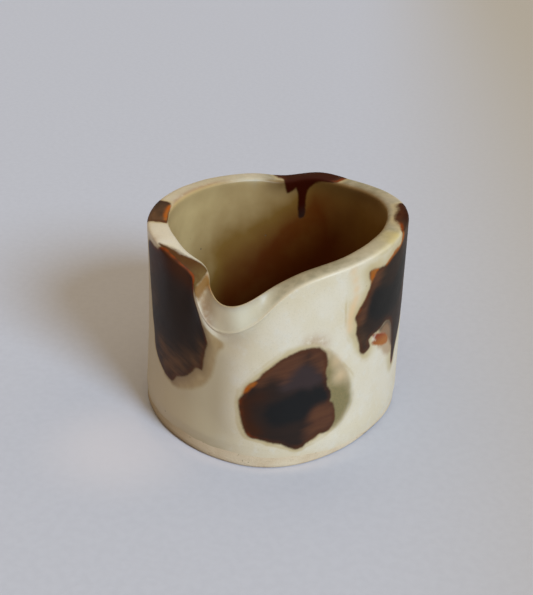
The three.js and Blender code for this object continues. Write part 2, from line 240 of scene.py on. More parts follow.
# Outlines of the areas where the glaze has another colour, in the same terms
ZONES = [
    ("halo", [
        (46.7, 0.548), (52.5, 0.47), (56.5, 0.382), (55.5, 0.286), (50.3, 0.19), (40, 0.135), (28, 0.09),
        (15, 0.155), (7, 0.19), (3.5, 0.302), (2.5, 0.416), (3.5, 0.5), (6, 0.568), (10, 0.624),
        (13.2, 0.648), (18.5, 0.684), (22, 0.708), (25.2, 0.716), (29.2, 0.712), (34.8, 0.696),
        (39.8, 0.656),
    ]),
    ("halo", [
        (48.8, 0.972), (48.8, 0.856), (48.8, 0.752), (49.5, 0.668), (52.8, 0.592), (56.5, 0.515),
        (60, 0.47), (66, 0.45), (72, 0.47), (78, 0.4), (82, 0.3), (87, 0.25), (92, 0.28), (96, 0.38),
        (104, 0.5), (113, 0.68), (122, 0.88), (124, 1.3), (112, 1.6), (100, 1.65), (90, 1.4), (80, 1.1),
        (70, 1.06), (60, 1.08), (52, 1.05),
    ]),
    ("stain", [
        (-42.8, 0.316), (-37.8, 0.296), (-34.5, 0.288), (-29.5, 0.304), (-23.5, 0.344), (-18.5, 0.388),
        (-14, 0.44), (-10, 0.524), (-8, 0.624), (-7.2, 0.732), (-5.8, 0.812), (-4, 0.86), (-4.2, 0.91),
        (-7.5, 0.94), (-10.5, 0.945), (-13, 0.94), (-16, 0.9), (-19.2, 0.78), (-22, 0.612), (-32.5, 0.428),
    ]),
    ("pool", [
        (39.8, 0.632), (43.8, 0.6), (47.5, 0.544), (51, 0.484), (53, 0.42), (54, 0.364), (53.6, 0.308),
        (52.4, 0.256), (51.2, 0.216), (48.5, 0.188), (45.2, 0.16), (42, 0.16), (39, 0.236), (37.8, 0.356),
        (37.2, 0.5), (38, 0.58),
    ]),
    ("bleed", [
        (71.5, 0.5), (75, 0.47), (78, 0.43), (83, 0.4), (86, 0.42), (85, 0.48), (81, 0.5), (75, 0.5),
    ]),
    ("olive", [
        (42.2, 0.436), (46.5, 0.42), (50.8, 0.392), (53.5, 0.34), (54, 0.296), (52.8, 0.256), (50.5, 0.22),
        (48, 0.196), (45.2, 0.18), (43.5, 0.228), (41.5, 0.34), (40.5, 0.412),
    ]),
    ("olive", [
        (41.5, 0.56), (43, 0.524), (43.2, 0.48), (42.8, 0.428), (40.2, 0.436), (39.8, 0.504),
    ]),
    ("veil", [
        (72.2, 0.58), (75.5, 0.6), (79.2, 0.6), (83.5, 0.552), (86, 0.44), (82, 0.485), (76, 0.55),
    ]),
    ("pinch", [
        (-22.2, 1.228), (-21.6, 1.468), (-21.6, 1.648), (-18.6, 1.852), (-16.4, 1.816), (-17.4, 1.552),
        (-17.6, 1.468), (-18.2, 1.228), (-20.5, 1.02), (-22, 1.02),
    ]),
    ("slope", [
        (-46, 1.2), (-42, 1.4), (-38.2, 1.48), (-35, 1.5), (-32, 1.58), (-29.2, 1.66), (-26.5, 1.74),
        (-24, 1.8), (-23, 1.72), (-22.3, 1.6), (-21.7, 1.468), (-21.6, 1.25), (-22.4, 1.1), (-24.6, 1.2),
        (-27.2, 1.2), (-30.2, 1.18), (-33.2, 1.22), (-37, 1.28),
    ]),
    ("grey", [
        (26.8, 0.58), (32.8, 0.568), (37.2, 0.52), (39.2, 0.476), (36.5, 0.452), (32, 0.444), (27, 0.464),
        (22, 0.468), (22, 0.528),
    ]),
    ("russet", [
        (61.5, 0.93), (67, 0.935), (69, 0.9), (67, 0.84), (64, 0.79), (61, 0.745), (58.5, 0.7), (56, 0.7),
        (56, 0.74), (59, 0.77), (62, 0.81), (63, 0.85),
    ]),
    ("russet", [
        (32.2, 0.656), (35.2, 0.656), (38.5, 0.632), (40.5, 0.592), (40.5, 0.548), (39.8, 0.512),
        (37.2, 0.532), (35.5, 0.568), (33.8, 0.596), (32.8, 0.62),
    ]),
    ("russet", [
        (13.2, 0.6), (16.5, 0.624), (20.2, 0.652), (24.2, 0.66), (28.5, 0.66), (31.8, 0.648), (31, 0.616),
        (27.8, 0.596), (25.2, 0.56), (22.8, 0.524), (20.5, 0.544), (17.2, 0.568), (14.2, 0.552),
        (11.8, 0.532), (10.5, 0.556),
    ]),
    ("russet", [
        (35, 0.336), (39.8, 0.336), (43, 0.324), (44.8, 0.28), (45.2, 0.232), (44, 0.192), (41, 0.168),
        (37, 0.168), (33.5, 0.152), (31.5, 0.18), (33.2, 0.228), (32.2, 0.292),
    ]),
    ("core", [
        (66, 0.84), (72, 0.82), (80, 0.8), (88, 0.86), (97, 0.9), (98, 0.78), (91, 0.68), (84, 0.64),
        (76, 0.655), (69, 0.66), (64, 0.69), (62, 0.74), (63, 0.8),
    ]),
    ("core", [
        (40.8, 0.436), (42.5, 0.388), (43, 0.356), (42, 0.34), (36.8, 0.336), (33.5, 0.316), (30.5, 0.272),
        (24.8, 0.268), (17.5, 0.276), (15, 0.336), (15.8, 0.396), (20.5, 0.416), (25.5, 0.428),
        (28.8, 0.448), (33.5, 0.424), (34.8, 0.44), (37.5, 0.432),
    ]),
    ("orange", [
        (-70, 1.66), (-72.5, 1.8), (-82, 1.79), (-90, 1.74), (-90.5, 1.62), (-82, 1.62), (-73, 1.64),
    ]),
    ("orange", [
        (5.2, 0.484), (6, 0.52), (7.8, 0.548), (9.8, 0.56), (11.2, 0.552), (10.5, 0.536), (9, 0.52),
        (7.2, 0.492),
    ]),
    ("orange", [
        (61.8, 0.944), (63.8, 0.952), (67.2, 0.94), (65.2, 0.924), (63.8, 0.9), (62.5, 0.884),
    ]),
    ("orange", [
        (90, 1.1), (90.5, 0.98), (86, 0.955), (79.2, 0.945), (75, 0.932), (72.8, 0.928), (73, 0.948),
        (76.2, 0.968), (77.8, 0.984), (81.5, 0.996), (86.5, 0.992),
    ]),
    ("drop", [
        (66.8, 0.588), (70.8, 0.572), (76.2, 0.548), (79.8, 0.512), (80.2, 0.48), (76.5, 0.484),
        (71.8, 0.504), (67.2, 0.532), (66.8, 0.548), (70.2, 0.54), (67.8, 0.564),
    ]),
]

# Areas beside a patch that its film smears over
SMEARS = {"left_patch": ["slope", "pinch"]}

# Marks on the glaze: degrees round, level, radius in millimetres and strength
MARKS = {
    "amber": [
        (-55, 0.985, 1.2, 0.4), (-50, 0.995, 1.2, 0.5), (-46, 1.06, 1.2, 0.6), (-43, 1.2, 1.2, 0.8),
        (-40, 1.33, 1.2, 1), (-36, 1.33, 1.2, 1), (-31, 1.24, 1.2, 1), (-27, 1.25, 1.2, 1),
        (-24, 1.25, 1.3, 1), (-23, 1.08, 1.3, 1), (-22, 0.99, 1.2, 0.8), (-12.5, 0.8, 1, 0.3),
        (-80, 1.86, 1.5, 1), (-74, 1.9, 1.5, 1), (-86, 1.79, 1.4, 0.8), (-68.5, 1.7, 1.2, 0.5),
        (4.2, 0.43, 1.2, 0.5), (4.8, 0.36, 1, 0.3), (8.5, 0.215, 1.2, 0.6), (11, 0.2, 1, 0.3),
        (56, 0.77, 1.5, 0.4), (60, 0.83, 1.4, 0.4), (94, 1.38, 1.6, 1), (91, 1.2, 1.6, 1),
        (165, 1.81, 1.8, 1), (163, 1.6, 1.6, 1), (171, 0.6, 1.5, 0.6), (182, 0.45, 1.6, 0.8),
        (191, 0.52, 1.5, 0.6), (-91, 0.6, 1.5, 0.7), (-85, 0.59, 1.4, 0.8), (-97, 0.7, 1.4, 0.5),
        (101, 0.52, 1.5, 0.6), (111, 0.7, 1.5, 0.6), (88, 0.32, 1.4, 0.6),
    ],
    "blush": [
        (52.2, 0.988, 1.3, 0.6), (53.4, 0.94, 1.3, 0.7), (54.2, 0.89, 1.3, 0.8), (54.2, 0.84, 1.3, 0.9),
        (52.8, 0.805, 1.3, 0.9), (51.8, 0.77, 1.3, 0.9), (51.5, 0.73, 1.3, 0.9), (51.7, 0.69, 1.3, 0.8),
        (45, 0.54, 2, 0.4), (47.5, 0.45, 2, 0.5),
    ],
    "rust_and_lip_shade": [
        (-21, 1.7, 1.1, 0.6), (-18.5, 1.78, 1.1, 1), (-16, 1.82, 1, 1), (-14, 1.85, 0.9, 0.8),
        (-12, 1.87, 0.8, 0.5), (42, 0.585, 1.6, 0.2), (-4, 1.82, 0.8, 0.6), (2, 1.82, 0.8, 0.6),
        # The marks at -11 to -16.5 degrees are painted shade in the hollow at the lip's left end
        (8, 1.82, 0.8, 0.4), (33, 0.695, 2.5, 0.6), (38, 0.665, 2.5, 0.5), (-11, 1.2, 2, 0.5),
        (-13.5, 1.35, 2, 0.45), (-16.5, 1.44, 1.6, 0.4), (-51, 1.12, 2.2, 0.3),
    ],
    "straw": [
        (65, 1.12, 2, 0.25), (71, 1.16, 2.2, 0.5), (78, 1.24, 2.5, 0.8), (84, 1.3, 2.5, 0.9),
        (55.5, 0.59, 1.5, 0.5),
    ],
    "lift": [
        (-40, 0.4, 4.5, 1), (-30, 0.44, 4.5, 1), (-26, 0.54, 3.5, 0.4), (-19, 0.56, 3, 0.8),
        (-16, 0.72, 2.2, 0.7), (-15.5, 0.64, 2, 0.7), (-46, 0.46, 4, 0.8), (-36, 0.36, 3.5, 0.8),
        (-58, 0.85, 4, 0.5), (-54, 0.7, 4, 0.4), (57, 0.7, 2.4, 0.5), (58.5, 0.76, 2.2, 0.4),
        (59, 0.6, 2.4, 0.4), (62, 0.55, 2, 0.5), (-82, 1.4, 6, 0.9), (-74, 1.4, 5, 0.9), (94, 1.1, 4, 0.5),
        (70, 0.9, 2.5, 0.3), (165, 1.6, 4, 0.7), (178, 0.7, 5, 0.6), (188, 0.62, 4, 0.7),
        (-90, 0.74, 4, 0.7), (-80, 0.86, 4, 0.5), (102, 0.7, 5, 0.5), (112, 0.88, 4, 0.5),
    ],
    "red": [
        (172, 1.4, 7, 1), (180, 1.5, 7, 1), (188, 1.5, 7, 1), (195, 1.4, 6, 0.9), (183, 2.1, 6, 1),
        (190, 2.03, 4, 1), (174, 2.0, 4, 0.9), (118, 1.2, 8, 0.7), (105, 1.4, 6, 0.7),
    ],
    "umber": [
        (6, 0.43, 2.2, 0.9), (6, 0.36, 2.6, 1), (7.5, 0.28, 2.8, 1), (11, 0.23, 2.4, 0.8),
        (12, 0.46, 3, 0.5), (-38, 0.33, 2.2, 0.8), (-42, 1.02, 5, 1), (-52, 0.9, 5, 0.9),
        (-33, 1.0, 5, 0.9), (-25, 0.96, 3, 0.6),
    ],
    # Painted light on the lip's face, and a painted glint beside the drop
    "painted_light": [
        (-6, 1.35, 3, 0.7), (-1, 1.35, 3.5, 1), (5, 1.3, 3, 0.5), (67.3, 0.563, 0.6, 0.6),
        (68.6, 0.572, 0.5, 0.4),
    ],
}

# How the rim's glaze darkens round the jug: degrees, tan and burnt brown; the tan from -19 to -12.5 degrees
# is painted shade on the lip's left end
RIM_TINTS = [
    (-220, 0.9, 0.8), (-205, 1, 0.9), (-195, 1, 1), (-166, 1, 0.9), (-160, 0.9, 0.6), (-155, 0.5, 0.1),
    (-148, 0.45, 0), (-135, 0.5, 0.3), (-100, 0.35, 0.25), (-90, 0.3, 0.3), (-78, 0.2, 0.3), (-60, 0.15, 0),
    (-45, 0.2, 0), (-30, 0.3, 0.2), (-19, 0.5, 0.2), (-16, 0.8, 0.2), (-12.5, 0.25, 0.2), (0, 0.1, 0.5),
    (10, 0.3, 0.5), (20, 0.8, 0.5), (40, 1, 0.6), (55, 0.8, 0.4), (70, 0.65, 0.25), (80, 0.95, 0.35),
    (92, 1, 0.4), (108, 1, 0.2), (128, 0.6, 0.6), (140, 0.9, 0.8),
]

# The level across the rim where the glaze takes the colour of the inside, round the jug
INNER_STARTS = [
    (-220, 1.68), (-200, 1.6), (-165, 1.6), (-152, 1.85), (-138, 1.72), (-128, 1.62), (-95, 1.62),
    (-85, 1.66), (-65, 1.76), (-48, 1.82), (-30, 1.75), (-14, 1.72), (10, 1.7), (40, 1.68), (60, 1.72),
    (90, 1.7), (105, 1.8), (140, 1.68),
]

# How the liner darkens down the inside, as pooled glaze, and round the jug, as painted shade on the inside's
# right and back where the light misses it: degrees, amount at the rim and rise per millimetre
LINER_POOLS_AND_SHADE = [
    (-220, 0.46, 0.018), (-214, 0.48, 0.014), (-203, 0.64, 0.01), (-194, 0.75, 0.01), (-185, 0.7, 0.04),
    (-177, 0.36, 0.05), (-168, 0.23, 0.045), (-160, 0.2, 0.03), (-152, 0.2, 0.023), (-143, 0.18, 0.02),
    (-134, 0.06, 0.022), (-124, 0, 0.016), (-113, 0, 0.016), (-99, -0.05, 0.014), (-60, 0, 0.018),
    (0, 0.1, 0.022), (60, 0.2, 0.022), (95, 0.4, 0.02), (140, 0.46, 0.018),
]

# Finger hollows and bulges in the wall: degrees, level, half width, half height and depth
PRESSES = [
    (22, 0.85, 9, 9, 0.12), (100, 0.5, 9, 12, -0.12), (150, 0.6, 10, 14, 0.1), (-120, 0.45, 9, 12, -0.12),
    (-165, 0.5, 12, 10, 0.08), (-21, 1.6, 1.1, 3.5, 0.4), (-28, 1.45, 3, 2.5, -0.35),
]

# The slab's slow unevenness: waves round, waves up per millimetre, phase and height
RIPPLES = [
    (3, 0.07, 0.4, 0.05), (5, -0.05, 1.9, 0.05), (8, 0.11, 3.1, 0.035), (11, -0.09, 0.7, 0.03),
    (17, 0.16, 5.2, 0.016), (23, -0.2, 2.6, 0.012),
]


def wandering(mean, harmonics, angle):
    """A mean value with its wander round the jug."""
    total = np.full_like(angle, mean)
    for order, (cosine, sine) in enumerate(harmonics, start=1):
        total = total + cosine * np.cos(order * angle) + sine * np.sin(order * angle)
    return total


def waves_round(table, angle):
    """The sum of the waves of a table at places round the jug."""
    return sum(height * np.sin(count * angle + phase) for count, phase, height in table)


def hump(amount, spread, angle):
    """A smooth hump on the way round the jug, with its own width on each side."""
    centre, left, right = spread
    turn = angle - math.radians(centre)
    away = np.degrees(np.arctan2(np.sin(turn), np.cos(turn)))
    return amount * np.exp(-0.5 * (away / np.where(away < 0, left, right)) ** 2)


def smoothstep(low, high, value):
    """A smooth rise from 0 at the first value to 1 at the second, or a fall where the second is less."""
    share = np.clip((value - low) / (high - low), 0, 1)
    return share * share * (3 - 2 * share)


def band(value, start, full, fading, end):
    """A smooth rise from 0 to 1 and a fall back to 0."""
    return smoothstep(start, full, value) * smoothstep(end, fading, value)


def bell(value, middle, width):
    """A smooth hump of height 1 round a middle value."""
    return np.exp(-(((value - middle) / width) ** 2))


def form(radius, height, angle):
    """Takes places on a plain turned cup to their places on the hand-formed jug."""
    up = np.minimum(height, SHOULDER) / SHOULDER
    bend = np.maximum(up - BEND_START, 0) / (1 - BEND_START)
    depth = np.minimum(RIM_RADIUS - radius, WALL + COIL)
    across = WALL / 2 - depth
    through = np.clip(across / WALL + 0.5, 0, 1)
    waves = hump(BACK_SWELL, SWELL_SPREAD, angle) - hump(BACK_NOTCH, NOTCH_SPREAD, angle)
    rim_height = wandering(RIM_HEIGHT, HEIGHT_WANDER, angle) - hump(SPOUT_DIP, DIP_SPREAD, angle) + waves
    shoulder = rim_height - CREST
    stretch = (shoulder - BASE_THICKNESS) / (SHOULDER - BASE_THICKNESS)
    above = np.maximum(np.minimum(height, SHOULDER) - BASE_THICKNESS, 0)
    foot = wandering(RIM_RADIUS + FOOT_SPREAD, FOOT_WANDER, angle)
    rim = wandering(RIM_RADIUS, RIM_WANDER, angle)
    flare = hump(SPOUT_FLARE, FLARE_SPREAD, angle)
    pinch = hump(PINCH_DEPTH, PINCH_SPREAD, angle)
    keel = hump(SPOUT_KEEL, KEEL_SPREAD, angle) * (1 - bend ** 2)
    waist = hump(SIDE_WAIST, WAIST_SPREAD, angle) * np.sin(np.pi * up)
    straight = foot + (rim - foot) * up - WALL / 2
    middle = straight + keel - waist - pinch * bend ** 2 + flare * bend ** BEND_POWER
    slope = flare * BEND_POWER * bend ** (BEND_POWER - 1) / (1 - BEND_START)
    lean = np.arctan2(slope, shoulder)
    along = np.maximum(height - SHOULDER, 0) - hump(LIP_BEVEL, BEVEL_SPREAD, angle) * bend ** 2 * through
    inward = radius / (RIM_RADIUS - depth)
    reach = (middle + across * np.cos(lean) + along * np.sin(lean)) * inward
    level = np.minimum(height, BASE_THICKNESS) + above * stretch
    rise = level + along * np.cos(lean) - across * np.sin(lean)
    return np.stack((reach * np.sin(angle), -reach * np.cos(angle), rise), axis=-1)


def section(level, offset):
    """Radius and height on the plain cup at a level, set off from the clay.

    Level 0 is the foot, 1 the rim's outer shoulder, 2 its inner one and 3 the floor inside.
    """
    turn = np.clip(level - 1, 0, 1) * math.pi
    side = np.sign(np.cos(turn)) * np.abs(np.cos(turn)) ** RIM_SQUARENESS
    top = np.maximum(np.sin(turn), 0) ** RIM_SQUARENESS
    rim_radius = RIM_RADIUS - WALL / 2 + side * (WALL / 2 + offset)
    rim_height = SHOULDER + top * (CREST + offset)
    inner_height = SHOULDER - (level - 2) * INNER_LENGTH
    outer = level <= 1
    on_rim = level < 2
    radius = np.where(outer, RIM_RADIUS + offset, np.where(on_rim, rim_radius, INSIDE_RADIUS - offset))
    height = np.where(outer, level * SHOULDER, np.where(on_rim, rim_height, inner_height))
    return radius, height


def coil_path(offset, steps):
    """Radius and height down the hollow face of the corner coil, from the wall to the floor."""
    share = np.linspace(0, 1, steps)
    hollow = 2 * share * (1 - share) * COIL_HOLLOW
    radius = INSIDE_RADIUS - offset - hollow - share ** 2 * COIL
    height = BASE_THICKNESS + offset + (1 - share) ** 2 * COIL + hollow
    return radius, height


def flat_x(degrees):
    """Length round the jug, with the seam where the glaze is plain."""
    wrapped = (np.asarray(degrees, float) - FLAT_SEAM) % 360 + FLAT_SEAM - 360
    return np.radians(wrapped) * FLAT_RADIUS


def flat_y(level):
    """Length up the section at a level."""
    return np.interp(level, LEVELS, LENGTHS)


def smooth_outline(points):
    """A closed outline on the flat surface, rounded off between its points."""
    corners = np.array([(flat_x(degrees), flat_y(level)) for degrees, level in points])
    before, after, beyond = (np.roll(corners, shift, axis=0) for shift in (1, -1, -2))
    slope = after - before
    bow = 2 * before - 5 * corners + 4 * after - beyond
    twist = 3 * corners - before - 3 * after + beyond
    shares = np.arange(OUTLINE_STEPS) / OUTLINE_STEPS
    curve = [corners + 0.5 * (slope * t + bow * t ** 2 + twist * t ** 3) for t in shares]
    return np.stack(curve, axis=1).reshape(-1, 2)


def signed_distance(x, y, outline):
    """Millimetres to a closed outline, positive inside it, counted no further than a reach."""
    low = outline.min(axis=0) - OUTLINE_REACH
    high = outline.max(axis=0) + OUTLINE_REACH
    near = (x > low[0]) & (x < high[0]) & (y > low[1]) & (y < high[1])
    px = x[near]
    py = y[near]
    nearest = np.full(px.shape, OUTLINE_REACH)
    inside = np.zeros(px.shape, bool)
    for (x0, y0), (x1, y1) in zip(outline, np.roll(outline, -1, axis=0)):
        dx = x1 - x0
        dy = y1 - y0
        share = np.clip(((px - x0) * dx + (py - y0) * dy) / (dx * dx + dy * dy + 1e-12), 0, 1)
        nearest = np.minimum(nearest, np.hypot(px - x0 - share * dx, py - y0 - share * dy))
        if dy:
            inside ^= ((y0 > py) != (y1 > py)) & (px < x0 + (py - y0) * dx / dy)
    distance = np.full(x.shape, -OUTLINE_REACH)
    distance[near] = np.where(inside, nearest, -nearest)
    return distance


def nearest_edge(x, y, outlines):
    """The distance to whichever of some outlines a place is deepest inside."""
    return np.max([signed_distance(x, y, outline) for outline in outlines], axis=0)


def spots(x, y, marks):
    """The sum of soft round marks on the flat surface, from 0 to 1."""
    total = np.zeros(x.shape)
    for degrees, level, radius, strength in marks:
        away = np.hypot(x - flat_x(degrees), y - flat_y(level))
        total += strength * bell(away, 0, radius)
    return np.clip(total, 0, 1)


BROWN_CURVES = {name: smooth_outline(points) for name, points in OUTLINES.items()}
ZONE_CURVES = {}
for zone_name, zone_points in ZONES:
    ZONE_CURVES.setdefault(zone_name, []).append(smooth_outline(zone_points))


def glaze_line(angle):
    """Height of the glaze's lower edge over the table."""
    runs = hump(*RIGHT_RUN, angle) + hump(*LEFT_RUN, angle)
    return wandering(BARE_FOOT, GLAZE_LINE_WANDER, angle) + waves_round(RAGGED_LINE, angle) - runs


def clay_height(angle, level):
    """How far the hand's unevenness lifts the face of the slab, fading out where the slab meets the base."""
    x = flat_x(np.degrees(angle))
    y = flat_y(level)
    uneven = np.zeros(np.broadcast(angle, level).shape)
    for round_waves, up_waves, phase, height in RIPPLES:
        uneven = uneven + height * np.sin(round_waves * angle + up_waves * y + phase)
    for degrees, at_level, half_width, half_height, depth in PRESSES:
        share = ((x - flat_x(degrees)) / half_width) ** 2 + ((y - flat_y(at_level)) / half_height) ** 2
        uneven = uneven + depth * np.exp(-0.5 * share)
    front = (hump(*RIDGE, angle) - hump(*HOLLOW, angle)) * smoothstep(*UNDER_LIP, level)
    gutter = hump(*GUTTER, angle) * bell(level, *GUTTER_LEVELS)
    roll = hump(*LIP_ROLL, angle) * bell(level, *ROLL_LEVELS)
    lifted = uneven + front - gutter + roll
    return lifted * band(level, *UNEVEN_BAND)


def coat_height(angle, level):
    """Height of the face of the cream glaze, which feathers out above the foot."""
    thickness = COAT + (LINER - COAT) * smoothstep(*LINER_RISE, level)
    feather = smoothstep(*FEATHER, level * SHOULDER - glaze_line(angle))
    return clay_height(angle, level) - SEAT + (thickness + SEAT) * feather


def rim_tints(shown, level):
    """The tan and the burnt brown of the rim's glaze, with painted shade as tan on the lip's left end."""
    turns, tans, burns = np.transpose(RIM_TINTS)
    on_rim = band(level, *RIM_BAND)
    burnt = on_rim * band(level, *BURN_BAND)
    return np.interp(shown, turns, tans) * on_rim, np.interp(shown, turns, burns) * burnt


def rust_line(shown, y):
    """A rusty line along the inner edge of the rim, on the left."""
    return RUST_STRENGTH * bell(y, flat_y(RUST_LEVEL), RUST_WIDTH) * band(shown, *RUST_BAND)


def liner_pools_and_shade(shown, y):
    """How dark the liner is, from the rim to the floor: pooled glaze deeper down, and painted shade on the
    inside's right and back.
    """
    depth = y - flat_y(2)
    turns, starts, rises = np.transpose(LINER_POOLS_AND_SHADE)
    pooled_and_shaded = np.interp(shown, turns, starts) + np.interp(shown, turns, rises) * np.maximum(depth, 0)
    return np.clip(np.maximum(pooled_and_shaded, smoothstep(*DEEP_POOL, depth)), 0, 1) * smoothstep(*POOL_START, depth)


def surface_marks(angle, level):
    """What the materials read at each vertex, by name."""
    x = flat_x(np.degrees(angle))
    y = flat_y(level)
    shown = np.degrees(x / FLAT_RADIUS)
    values = {name: spots(x, y, marks) for name, marks in MARKS.items()}
    for name, curves in ZONE_CURVES.items():
        values[name] = nearest_edge(x, y, curves)
    values["brown"] = nearest_edge(x, y, BROWN_CURVES.values())
    values["tide"] = values["halo"]
    values["halo"] = np.maximum(values["halo"], values["brown"] + BROWN_HALO)
    values["rust_and_lip_shade"] = np.maximum(values["rust_and_lip_shade"], rust_line(shown, y))
    values["tan"], values["burnt"] = rim_tints(shown, level)
    # Painted shade on the left of the outside, below the lip
    values["painted_left_shade"] = band(shown, *PAINTED_SHADE_BAND) * smoothstep(*PAINTED_SHADE_TOP, level)
    values["inside"] = smoothstep(0, INNER_FADE, level - np.interp(shown, *np.transpose(INNER_STARTS)))
    # The liner's darkening: pooled glaze, and painted shade on the inside's right and back
    values["pooled_and_shaded"] = liner_pools_and_shade(shown, y)
    values["foot"] = np.clip(level * SHOULDER - glaze_line(angle), *FOOT_REACH)
    values["flat_x"] = x
    values["flat_y"] = y
    return values


def srgb(red, green, blue):
    """A screen colour as the linear colour that nodes take."""
    shares = (level / 255 for level in (red, green, blue))
    linear = (((share + 0.055) / 1.055) ** 2.4 if share > 0.04 else share / 12.92 for share in shares)
    return (*linear, 1.0)


class Shader:
    """The nodes of a material or world, built by short calls.

    An input is a socket, a number, a vector, a colour or the name of what the mesh holds at each vertex.
    A colour of three numbers is as a screen shows it, and one of four is linear.
    """

    def __init__(self, owner):
        owner.use_nodes = True
        self.owner = owner
        self.tree = owner.node_tree
        self.tree.nodes.clear()

    def add(self, kind, inputs=(), **settings):
        node = self.tree.nodes.new("ShaderNode" + kind)
        for key, value in settings.items():
            setattr(node, key, value)
        for key, value in dict(inputs).items():
            self.feed(node.inputs[key], value)
        return node

    def feed(self, socket, value):
        if isinstance(value, str):
            value = self.add("Attribute", attribute_name=value).outputs["Fac"]
        if isinstance(value, bpy.types.NodeSocket):
            self.tree.links.new(value, socket)
        elif socket.type == "RGBA" and len(value) == 3:
            socket.default_value = srgb(*value)
        else:
            socket.default_value = value

    def math(self, operation, *values):
        return self.add("Math", enumerate(values), operation=operation).outputs[0]

    def plus(self, first, second):
        return self.math("ADD", first, second)

    def times(self, product, *factors):
        for factor in factors:
            product = self.math("MULTIPLY", product, factor)
        return product

    def scaled(self, value, factor, offset):
        return self.math("MULTIPLY_ADD", value, factor, offset)

    def step(self, value, low, high):
        """A smooth rise from 0 at the low value to 1 at the high one."""
        values = {"Value": value, "From Min": low, "From Max": high}
        return self.add("MapRange", values, interpolation_type="SMOOTHSTEP").outputs[0]

    def mix(self, share, first, second):
        """From the first colour to the second, by a share."""
        return self.add("Mix", {0: share, 6: first, 7: second}, data_type="RGBA").outputs[2]

    def tint(self, colour, share, strength, other):
        """A colour with another over it, by a share times a strength."""
        return self.mix(self.times(share, strength), colour, other)

    def millimetres(self):
        """Places on the object in millimetres."""
        place = self.add("TexCoord").outputs["Object"]
        return self.add("VectorMath", {0: place, "Scale": 1 / MM}, operation="SCALE").outputs[0]

    def split(self, place):
        return self.add("SeparateXYZ", {0: place}).outputs

    def noise(self, place, scale, detail=2, rough=0.5):
        """Cloudy noise, with so many waves in a millimetre."""
        values = {"Vector": place, "Scale": scale, "Detail": detail, "Roughness": rough}
        return self.add("TexNoise", values).outputs[0]

    def cells(self, place, scale):
        """Cells with a colour each and the distance to their middle."""
        return self.add("TexVoronoi", {"Vector": place, "Scale": scale}).outputs

    def ramp(self, value, stops):
        node = self.add("ValToRGB", {0: value})
        elements = node.color_ramp.elements
        while len(elements) < len(stops):
            elements.new(0.5)
        for element, (position, colour) in zip(elements, stops):
            element.position = position
            element.color = srgb(*colour)
        return node.outputs[0]

    def finish(self, colour, roughness, height, bump, **constants):
        normal = self.add("Bump", {"Height": height, "Strength": bump, "Distance": MM}).outputs[0]
        inputs = {"Base Color": colour, "Roughness": roughness, "Normal": normal}
        shader = self.add("BsdfPrincipled", inputs)
        for key, value in constants.items():
            shader.inputs[key.replace("_", " ")].default_value = value
        self.add("OutputMaterial", {"Surface": shader.outputs[0]})
        return self.owner


